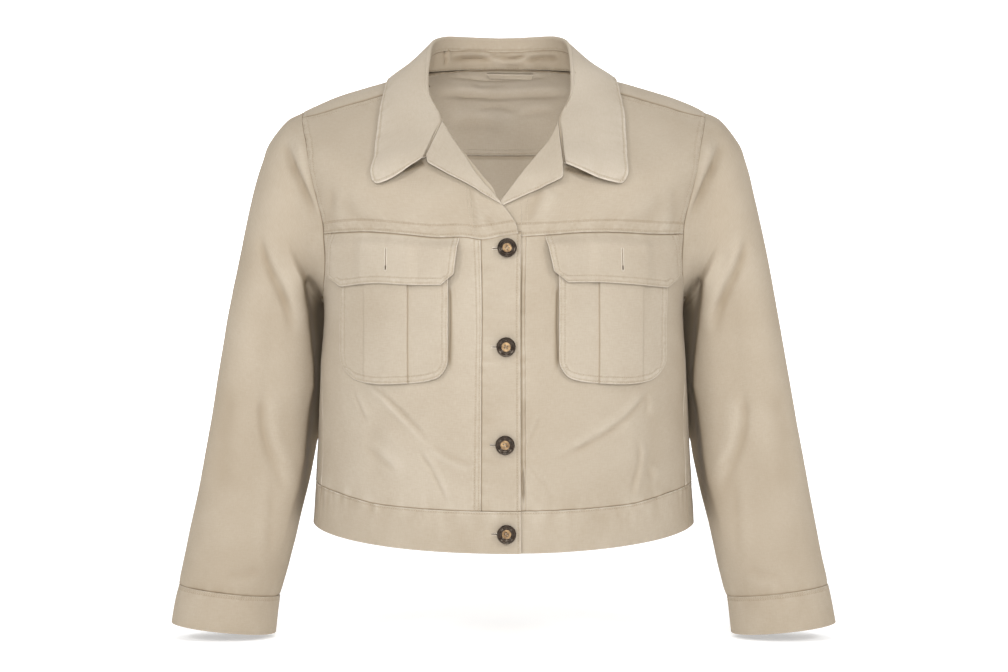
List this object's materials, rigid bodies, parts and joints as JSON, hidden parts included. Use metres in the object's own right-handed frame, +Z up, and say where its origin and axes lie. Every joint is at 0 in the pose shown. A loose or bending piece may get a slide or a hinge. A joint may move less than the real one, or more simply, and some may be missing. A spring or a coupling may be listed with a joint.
{
  "type": "cropped military jacket",
  "caption": "Hollow cropped cotton jacket as worn, with lapel collar, yokes, flapped patch pockets, plain cuffs and a hem band, closed by front buttons.",
  "frame": {"origin": "middle of the neck, at the height where the jacket rests on the wearer's shoulders", "axes": "+X to the wearer's left, -Y the way the wearer faces, +Z up"},
  "size_m": [0.7008, 0.2777, 0.6412],
  "materials": {
    "twill": "matt, garment-washed beige cotton twill",
    "button": "dark horn-look resin, half gloss"
  },
  "bodies": {
    "root": {"front_right": "twill", "front_left": "twill", "front_yoke_right": "twill", "front_yoke_left": "twill", "placket_right": "twill", "placket_left": "twill", "hem_band_right": "twill", "hem_band_left": "twill", "hem_band_back": "twill", "back_panel": "twill", "back_yoke": "twill", "sleeve_right": "twill", "sleeve_left": "twill", "cuff_right": "twill", "cuff_left": "twill", "collar": "twill", "collar_stand": "twill", "lapel_right": "twill", "lapel_left": "twill", "pocket_right": "twill", "pocket_left": "twill", "flap_right": "twill", "flap_left": "twill", "hanger_loop": "twill", "button_1": "button", "button_2": "button", "button_3": "button", "button_4": "button"}
  },
  "joints": []
}
